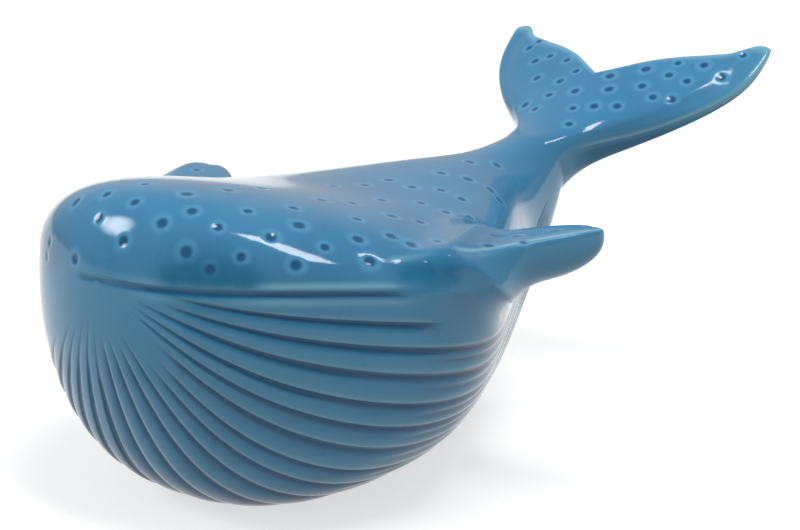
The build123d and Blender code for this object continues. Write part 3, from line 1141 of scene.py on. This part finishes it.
def pale_values(whale, low_mouth, mouth_gains, below_mouth, above_mouth):
    """How thin and pale the glaze is on the mouth's lip and ridge and on the flukes' edges."""
    steps = whale.steps
    left_mouth, right_mouth = low_mouth
    lip_gain = ramp(steps, *lip_clear_steps)[:, None]
    lip = 1 - ramp(above_mouth, pale_core_share * mouth_lip_width, mouth_lip_width)
    mouth_ridge = np.exp(-(((below_mouth - mouth_ridge_middle) / mouth_ridge_half) ** 2))
    mouth_ridge = mouth_ridge_pale * mouth_ridge * mouth_gains * lip_gain
    core = pale_core_share * fluke_edge_pale
    start, end = fluke_edge_steps
    on_flukes = ramp(steps, ring_last + start, ring_last + end)[:, None]
    edge = (1 - ramp(above_mouth, core, fluke_edge_pale)) * on_flukes
    start, end = trailing_pale_steps
    trailing = ramp(steps, steps[-1] - start, steps[-1] - end)[:, None]
    edge = np.maximum(edge, trailing_pale * trailing)
    start, end = under_edge_steps
    near_tip = ramp(steps, ring_last + start, ring_last + end)[:, None]
    under_edge = (1 - ramp(below_mouth, core, fluke_edge_pale)) * near_tip
    left_high = np.maximum(lip * left_mouth * lip_gain, edge)
    right_high = np.maximum(lip * right_mouth * lip_gain, edge)
    return all_round_values(np.maximum(mouth_ridge, under_edge), left_high, right_high)


def whale_values(whale, left_points, ridge_pale, ridge_shade):
    """All that the whale's skin carries for the carving, the dimples and the glaze."""
    steps = whale.steps
    no_high = zero_high(whale)
    down_shares = np.where(low_places <= 1, low_places, 2 - low_places)
    below_mouth = down_shares * whale.low_lengths
    lift_shares = np.clip(down_shares / left_groove_shares[1], 0, 1)
    below_mouth = below_mouth + whale.lifts * lift_shares
    above_mouth = high_places * whale.high_lengths
    low_gains = pleat_gains(steps, low_grooves, whale.low_lengths)
    no_low = np.zeros_like(low_gains)
    left_mouth = low_gains[:, :1] / mouth_gain
    right_mouth = low_gains[:, -1:] / mouth_gain
    right_mouth = np.maximum(right_mouth, 1 - ramp(steps, *mouth_corner_steps)[:, None])
    mouth_gains = np.where(low_places <= 1, left_mouth, right_mouth)
    growth = mouth_nose_share + (1 - mouth_nose_share) * ramp(steps, *mouth_growth_steps)
    mouth_gains = mouth_gains * growth[:, None]
    mouth_line = np.exp(-(((below_mouth - mouth_line_middle) / mouth_line_half) ** 4))
    mouth_line = mouth_line * mouth_gains
    split = ramp(steps, split_start_step, split_start_step + split_fade_steps)[:, None]
    pale = pale_values(whale, (left_mouth, right_mouth), mouth_gains, below_mouth, above_mouth)
    clear_of_joint = ramp(whale.gaps, *pleat_joint_gaps)
    clear_of_floor = ramp(whale.points[:, 2], *pleat_foot_gaps)
    pleat_gain = with_nose(all_round_values(low_gains, no_high)) * clear_of_joint * clear_of_floor
    blue = with_nose(all_round_values(no_low, ramp(above_mouth, 0, blue_rise)))
    to_eye = eye - whale.points
    to_eye = to_eye / np.linalg.norm(to_eye, axis=1, keepdims=True)
    facing = (whale.normals * to_eye).sum(1)
    upper = with_nose(all_round_values(no_low, np.tile(high_places, (whale.rows, 1))))
    clear_of_mouth = upper * whale.high_lengths.max() > dimple_mouth_gap
    ground = clear_of_mouth & (facing < 0) & (whale.gaps > dimple_joint_gap)
    return {
        "pleat_place": with_nose(all_round_values(np.tile(low_pleats, (whale.rows, 1)), no_high)),
        "pleat_gain": pleat_gain,
        "lip_pale": np.maximum(with_nose(pale), ridge_pale),
        "teal": pool_and_underside_shade_values(whale, left_points, below_mouth),
        # Under the ridges, the painted shade swaps the blue for the colour below.
        "blue": blue * (1 - ridge_shade),
        "split_gain": with_nose(all_round_values(split * low_gains, no_high)),
        "mouth_line": with_nose(all_round_values(mouth_line, no_high)),
        "dimple_ground": ground.astype(float),
    }


def paddle_values(paddle, whale, carried):
    """What both flippers' skins carry: at the root, the colours of the body beside them."""
    tree = point_tree(whale.points)
    nearest = np.array([tree.find(spot)[1] for spot in paddle.points])
    share_of_body = 1 - ramp(paddle.gaps, 0, joint_colour_reach)
    blue = ramp(paddle.normals[:, 2], *blue_upward_shares)
    blue = blue * (1 - share_of_body) + carried["blue"][nearest] * share_of_body
    pale = np.exp(-(((paddle.shares_round - edge_pale_share) / edge_pale_width) ** 2))
    pale = np.append(np.tile(pale, paddle.rows), [flipper_tip_pale, 0])
    return {
        "pale": pale * ramp(paddle.gaps, 0, edge_pale_root_gap),
        "blue": blue,
        "teal": carried["teal"][nearest] * share_of_body,
    }


# Pieces
def edge_loop(quads):
    """The points round the outside of a patch of faces, in order."""
    edges = {}
    for corners in quads.tolist():
        for a, b in zip(corners, corners[1:] + corners[:1]):
            if (b, a) in edges:
                del edges[(b, a)]
            else:
                edges[(a, b)] = True
    following = dict(edges.keys())
    loop = [next(iter(following))]
    while following[loop[-1]] != loop[0]:
        loop.append(following[loop[-1]])
    return np.array(loop)


def vent_in(points, quads):
    """Opens the vent: the quads round it give way to a ring of faces and a tube up inside."""
    margin = vent_radius * vent_margin_share
    middle = points[quads].mean(1)
    low = middle[:, 2] < foot_reach
    beside = np.abs(middle[:, 0]) < margin
    near = low & beside & (np.abs(middle[:, 1] - vent_behind) < margin)
    loop = edge_loop(quads[near])
    turn = np.unwrap(np.arctan2(points[loop, 1] - vent_behind, points[loop, 0]))
    way = np.sign(turn[-1] - turn[0])
    rim_turns = turn[0] + way * 2 * math.pi * np.arange(vent_points) / vent_points
    rim_side = vent_radius * np.cos(rim_turns)
    rim_behind = vent_behind + vent_radius * np.sin(rim_turns)
    rim = np.stack([rim_side, rim_behind, np.zeros(vent_points)], -1)
    tops = rim + np.array([0, 0, vent_depth])
    centre = np.array([[0, vent_behind, vent_depth]])
    rim_ids = len(points) + np.arange(vent_points)
    top_ids = rim_ids + vent_points
    outer = (np.append(loop, loop[0]), np.append(np.abs(turn - turn[0]), 2 * math.pi))
    inner = (np.append(rim_ids, rim_ids[0]), np.linspace(0, 2 * math.pi, vent_points + 1))
    around = [face for face in strip(outer, inner) if len(set(face)) == 3]
    tube = np.stack([rim_ids, np.roll(rim_ids, -1), np.roll(top_ids, -1), top_ids], -1)
    roof = fan(top_ids, len(points) + 2 * vent_points)
    points = np.concatenate([points, rim, tops, centre])
    return points, quads[~near], [np.array(around), tube, roof]


def with_more(values, count):
    """Values for more points at the end, all 0."""
    more = np.zeros((count,) + values.shape[1:], values.dtype)
    return np.concatenate([values, more])


def set_normals(mesh, soft_normals, soft_faces):
    """Shades the first faces by the given normals at their points, and the rest by their own."""
    normals = np.zeros((len(mesh.loops), 3), np.float32)
    for polygon in mesh.polygons:
        for corner in polygon.loop_indices:
            if polygon.index < soft_faces:
                normals[corner] = soft_normals[mesh.loops[corner].vertex_index]
    mesh.normals_split_custom_set(normals.tolist())


def kept_part(name, points, face_groups, values, normals, soft_groups):
    """A piece with only the points that its faces use, shaded softly over its first groups."""
    used = np.unique(np.concatenate([group.ravel() for group in face_groups]))
    new_number = np.full(len(points), -1)
    new_number[used] = np.arange(len(used))
    faces = [new_number[group] for group in face_groups]
    kept = {key: numbers[used] for key, numbers in values.items()}
    piece = make_piece(name, points[used], faces, kept)
    soft_faces = sum(len(group) for group in face_groups[:soft_groups])
    set_normals(piece.data, normals[used], soft_faces)
    return piece


def joint_cap(points, ring, push_back):
    """Closes the joint ring with a fan to a point set back inside the piece."""
    centre = points[ring].mean(0) + np.array([0, push_back, 0])
    return np.concatenate([points, centre[None]]), fan(ring, len(points))


def soft_normals(whale, whale_points, paddle, left_points):
    """Normals of the carved whale and of the left flipper, running together at the joints."""
    inner = hidden_gaps[1]
    near_body = (paddle.gaps < fillet_radii[1]) & (paddle.gaps > inner)
    near_paddle = (whale.gaps < fillet_radii[1]) & (whale.gaps > inner)
    whale_normals = skin_normals(whale_points, whale.faces)
    left_normals = skin_normals(left_points, paddle.faces)
    both_points = np.concatenate([left_points, mirrored(left_points)])
    both_normals = np.concatenate([left_normals, mirrored(left_normals)])
    return (
        shared_normals(whale_points, whale_normals, both_points, both_normals, near_paddle),
        shared_normals(left_points, left_normals, whale_points, whale_normals, near_body),
    )


def part_whale(whale, carved, normals, worn):
    """The glazed body with its vent, and the glazed flukes, each closed inside at the joint."""
    quads, nose_cap, edge_cap = whale.faces
    joint = whale.joint_row * whale.columns
    joint_ring = joint + np.arange(whale.columns)
    points, body_quads, vent_faces = vent_in(carved, quads[:joint])
    points, body_cap = joint_cap(points, joint_ring, -joint_cap_depth)
    added = len(points) - len(carved)
    body_normals = with_more(normals, added)
    body_normals[len(carved):] = np.array([0, 0, -1])
    around_vent, tube, roof = vent_faces
    body = kept_part(
        "body_glazed",
        points,
        [body_quads, nose_cap, around_vent, tube, roof, body_cap],
        {key: with_more(values, added) for key, values in worn.items()},
        body_normals,
        soft_groups=3,
    )
    points, flukes_cap = joint_cap(carved, joint_ring[::-1], joint_cap_depth)
    flukes = kept_part(
        "flukes_glazed",
        points,
        [quads[joint:], edge_cap, flukes_cap],
        {key: with_more(values, 1) for key, values in worn.items()},
        with_more(normals, 1),
        soft_groups=2,
    )
    return body, flukes


# The clay whale: its skins, their joints and ridges, and what they carry
whale = whale_skin()
paddle = paddle_skin()
join_softly(whale, paddle)
turned_left = np.abs(whale.points) * np.array([1, 0, 0]) + whale.points * np.array([0, 1, 1])
ridge_pale, ridge_shade = raise_ridge(whale, turned_left)
whale_carries = whale_values(whale, turned_left, ridge_pale, ridge_shade)
paddle_carries = paddle_values(paddle, whale, whale_carries)
paddle_top = (paddle.normals[:, 2] > dimple_upward_share) & (paddle.gaps > dimple_root_gap)
whale_piece = make_piece("whale_skin", whale.points, whale.faces, whale_carries)
left_piece = make_piece(
    "left_flipper_glazed",
    paddle.points,
    paddle.faces,
    {"dimple_ground": np.zeros(len(paddle.points)), **paddle_carries},
)
right_piece = make_piece(
    "right_flipper_glazed",
    mirrored(paddle.points),
    [group[:, ::-1] for group in paddle.faces],
    {"dimple_ground": paddle_top.astype(float), **paddle_carries},
)

# The carving
clay = bpy.data.materials.new("clay")
whale_seats = seen_places(head_dimples + back_dimples + fluke_dimples, whale.tree)
paddle_seats = seen_places(flipper_dimples, paddle.tree)
seats = {
    whale_piece: seat_object("whale_seats", whale_seats),
    left_piece: seat_object("left_seats", paddle_seats),
    right_piece: seat_object("right_seats", mirrored(paddle_seats)),
}
run_tree(pleat_tree(clay), whale_piece, {"Pleat Depth": pleat_depth * METRES})
dimples = dimple_tree(clay)
for piece, places in seats.items():
    sizes = {
        "Seats": places,
        "Dimple Radius": dimple_radius * METRES,
        "Dimple Depth": dimple_depth * METRES,
        "Spacing": dimple_spacing * METRES,
        "Seed": dimple_seed,
    }
    run_tree(dimples, piece, sizes)

# The finished skins: the whale is flat at the foot and parted at the tail joint
carved = mesh_points(whale_piece.data)
kept_keys = ["pooled", "pale", "teal", "blue", "dimple_offset", "dimple_reach"]
worn = {key: read_values(whale_piece.data, key) for key in kept_keys}
worn["bare"] = 1 - ramp(carved[:, 2], foot_glaze_gap, 3 * foot_glaze_gap)
carved[:, 2] = np.maximum(carved[:, 2], 0)
left_points = mesh_points(left_piece.data)
carved_normals, left_normals = soft_normals(whale, carved, paddle, left_points)
body_piece, flukes_piece = part_whale(whale, carved, carved_normals, worn)
set_normals(left_piece.data, left_normals, len(left_piece.data.polygons))
set_normals(right_piece.data, mirrored(left_normals), len(right_piece.data.polygons))
for helper in [whale_piece, *seats.values()]:
    bpy.data.objects.remove(helper)


# Materials
def mix(tree, share, first, second):
    """Mixes two colours, each a socket or red, green and blue shares."""
    first = first if isinstance(first, bpy.types.NodeSocket) else (*first, 1)
    second = second if isinstance(second, bpy.types.NodeSocket) else (*second, 1)
    node = add(tree, "ShaderNodeMix", data_type="RGBA")
    for name, value in (("Factor", share), ("A", first), ("B", second)):
        socket = next(s for s in node.inputs if s.name == name and s.enabled)
        if isinstance(value, bpy.types.NodeSocket):
            tree.links.new(value, socket)
        else:
            socket.default_value = value
    return next(s for s in node.outputs if s.enabled)


def mix_value(tree, share, first, second):
    """Mixes two numbers."""
    node = add(tree, "ShaderNodeMix", {0: share, 2: first, 3: second}, data_type="FLOAT")
    return node.outputs[0]


def span(tree, value, low, high, to_low=0.0, to_high=1.0):
    """Carries a value from one range to another, with soft ends."""
    node = add(
        tree,
        "ShaderNodeMapRange",
        {0: value, 1: low, 2: high, 3: to_low, 4: to_high},
        interpolation_type="SMOOTHSTEP",
    )
    return node.outputs[0]


def new_material(name):
    """An empty material, and its tree."""
    material = bpy.data.materials.new(name)
    material.use_nodes = True
    tree = material.node_tree
    tree.nodes.clear()
    return material, tree


def attribute(tree, name, output="Fac"):
    """What the skin carries under this name."""
    return add(tree, "ShaderNodeAttribute", attribute_name=name).outputs[output]


def noise(tree, where, scale, detail=2.0, rough=0.5):
    """A cloudy value from 0 to 1. The scale is in clouds per metre."""
    node = add(
        tree,
        "ShaderNodeTexNoise",
        {"Vector": where, "Scale": scale, "Detail": detail, "Roughness": rough},
    )
    return node.outputs[0]


def finish_material(tree, inputs, bump):
    """Ends a material in one shader with these inputs and this bump."""
    shader = add(tree, "ShaderNodeBsdfPrincipled", {**inputs, "Normal": bump})
    output = add(tree, "ShaderNodeOutputMaterial")
    tree.links.new(shader.outputs[0], output.inputs[0])


def glaze_material():
    """Blue glaze, deeper in the carving and thin on the edges, with bare clay at the foot."""
    material, tree = new_material("blue_glaze_look")
    here = add(tree, "ShaderNodeTexCoord").outputs["Object"]
    cloud = noise(tree, here, cloud_scale)
    grain = noise(tree, here, speck_scale, speck_detail, fine_roughness)
    colour = mix(tree, attribute(tree, "blue"), glaze_below, glaze_above)
    uneven = span(tree, cloud, *cloud_range, 0.0, cloud_cover)
    colour = mix(tree, uneven, colour, glaze_halo)
    pale = math_node(tree, "MULTIPLY", attribute(tree, "pale"), pale_cover)
    colour = mix(tree, pale, colour, glaze_thin)
    pooled = math_node(tree, "MULTIPLY", attribute(tree, "pooled"), pool_cover)
    colour = mix(tree, pooled, colour, glaze_pooled)
    # Teal: pooled glaze in the pools, and painted shade under the flukes.
    teal = math_node(tree, "MULTIPLY", attribute(tree, "teal"), teal_cover)
    colour = mix(tree, teal, colour, teal_pool_and_shade)
    offset = attribute(tree, "dimple_offset", "Vector")
    near = add(tree, "ShaderNodeVectorMath", {0: offset}, operation="LENGTH").outputs["Value"]
    far = attribute(tree, "dimple_reach")
    reach = mix_value(tree, span(tree, far, *offset_fade), near, far)
    outside_dimple = span(tree, reach, *halo_fade_in)
    halo = math_node(tree, "SUBTRACT", outside_dimple, span(tree, reach, *halo_fade_out))
    halo_gain = math_node(tree, "MULTIPLY_ADD", teal, teal_halo_change, halo_cover)
    colour = mix(tree, math_node(tree, "MULTIPLY", halo, halo_gain), colour, glaze_halo)
    dark = math_node(tree, "MULTIPLY", span(tree, reach, *dimple_fade), dimple_cover)
    colour = mix(tree, dark, colour, glaze_dimple)
    specks = math_node(tree, "MULTIPLY", span(tree, grain, *speck_range), speck_cover)
    colour = mix(tree, specks, colour, glaze_pooled)
    foot = attribute(tree, "bare")
    colour = mix(tree, foot, colour, bare_clay)
    gloss = mix_value(tree, foot, glaze_roughness, clay_roughness)
    bump_inputs = {"Strength": ripple_strength, "Distance": ripple_depth, "Height": cloud}
    ripple = add(tree, "ShaderNodeBump", bump_inputs).outputs[0]
    finish_material(tree, {"Base Color": colour, "Roughness": gloss, "IOR": glaze_ior}, ripple)
    return material


def slip_material():
    """Matt fired clay with a fine grain."""
    material, tree = new_material("fired_slip_look")
    here = add(tree, "ShaderNodeTexCoord").outputs["Object"]
    grain = noise(tree, here, slip_scale, slip_detail, fine_roughness)
    colour = mix(tree, grain, slip_dark, slip_light)
    bump_inputs = {"Strength": slip_bump_strength, "Distance": slip_bump_depth, "Height": grain}
    bump = add(tree, "ShaderNodeBump", bump_inputs).outputs[0]
    finish_material(tree, {"Base Color": colour, "Roughness": clay_roughness}, bump)
    return material


glaze = glaze_material()
slip = slip_material()
glazed = {
    "body_shell": body_piece,
    "tail_flukes": flukes_piece,
    "left_flipper": left_piece,
    "right_flipper": right_piece,
}
for node, piece in glazed.items():
    piece.data.materials.clear()
    piece.data.materials.append(glaze)
    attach(piece, "root")
    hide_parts(node)
for item in list(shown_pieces()):
    if item not in glazed.values():
        item.data.materials.clear()
        item.data.materials.append(slip)


# Stage, lamps and camera
def floor_material():
    """Pale, and lifted to white for the camera where nothing shades it."""
    material, tree = new_material("pale_floor")
    matt = add(tree, "ShaderNodeBsdfDiffuse", {"Color": (*[floor_shade] * 3, 1)})
    path = add(tree, "ShaderNodeLightPath").outputs
    mirrored_too = math_node(tree, "MAXIMUM", path["Is Glossy Ray"], path["Is Transmission Ray"])
    seen = math_node(tree, "MAXIMUM", path["Is Camera Ray"], mirrored_too)
    lift = math_node(tree, "MULTIPLY", seen, floor_lift)
    glow = add(tree, "ShaderNodeEmission", {"Color": (1, 1, 1, 1), "Strength": lift})
    both = add(tree, "ShaderNodeAddShader", {0: matt.outputs[0], 1: glow.outputs[0]})
    output = add(tree, "ShaderNodeOutputMaterial")
    tree.links.new(both.outputs[0], output.inputs[0])
    return material


def pale_world():
    """A soft grey room that is paler behind the whale."""
    world = bpy.data.worlds.new("pale_room")
    bpy.context.scene.world = world
    world.use_nodes = True
    tree = world.node_tree
    tree.nodes.clear()
    way = add(tree, "ShaderNodeTexCoord").outputs["Generated"]
    middle = view_aim - eye
    middle = Vector((middle[0], middle[1], 0)).normalized()
    behind = add(tree, "ShaderNodeVectorMath", {0: way, 1: middle}, operation="DOT_PRODUCT")
    edges = [math.cos(math.radians(half)) for half in backdrop_halves]
    strength = span(tree, behind.outputs["Value"], edges[1], edges[0], room_light, backdrop_light)
    glow_middle = Vector(glow_way).normalized()
    near = add(tree, "ShaderNodeVectorMath", {0: way, 1: glow_middle}, operation="DOT_PRODUCT")
    glow_edge = math.cos(math.radians(glow_half))
    glow = span(tree, near.outputs["Value"], glow_edge, 1.0, 0.0, glow_light)
    strength = math_node(tree, "ADD", strength, glow)
    light = add(tree, "ShaderNodeBackground", {"Color": (1, 1, 1, 1), "Strength": strength})
    output = add(tree, "ShaderNodeOutputWorld")
    tree.links.new(light.outputs[0], output.inputs[0])


def lamp(name, way, spread, brightness, length_share=1.0):
    """A soft lamp that lies this way from the whale, spread degrees wide as seen from it."""
    light = bpy.data.lights.new(name, "AREA")
    light.shape = "RECTANGLE"
    light.size = 2 * lamp_distance * math.tan(math.radians(spread / 2))
    light.size_y = light.size * length_share
    light.energy = brightness * math.pi * light.size * light.size_y
    holder = bpy.data.objects.new(name, light)
    bpy.context.scene.collection.objects.link(holder)
    direction = Vector(way).normalized()
    holder.location = Vector(lamp_aim) + direction * lamp_distance
    holder.rotation_euler = direction.to_track_quat("Z", "Y").to_euler()


def photo_camera():
    """The camera at the photographed view."""
    data = bpy.data.cameras.new("photo_view")
    data.sensor_width = sensor_width
    data.lens = view_focal * sensor_width / picture_size[0]
    data.clip_start = clip_near
    data.clip_end = clip_far
    camera = bpy.data.objects.new("photo_view", data)
    bpy.context.scene.collection.objects.link(camera)
    camera.location = Vector(eye) * METRES
    camera.rotation_euler = Vector(view_aim - eye).to_track_quat("-Z", "Y").to_euler()
    return camera


floor = new_object("floor", bpy.data.meshes.new("floor"))
floor_corners = [(-1, -1, 0), (1, -1, 0), (1, 1, 0), (-1, 1, 0)]
floor.data.from_pydata([Vector(c) * floor_half for c in floor_corners], [], [(0, 1, 2, 3)])
floor.data.materials.append(floor_material())
pale_world()
lamp("overhead", overhead_way, overhead_spread, overhead_light, overhead_length_share)
lamp("overhead_rear", rear_way, rear_spread, rear_light)
bpy.context.scene.camera = photo_camera()
bpy.context.scene.view_settings.view_transform = "Standard"
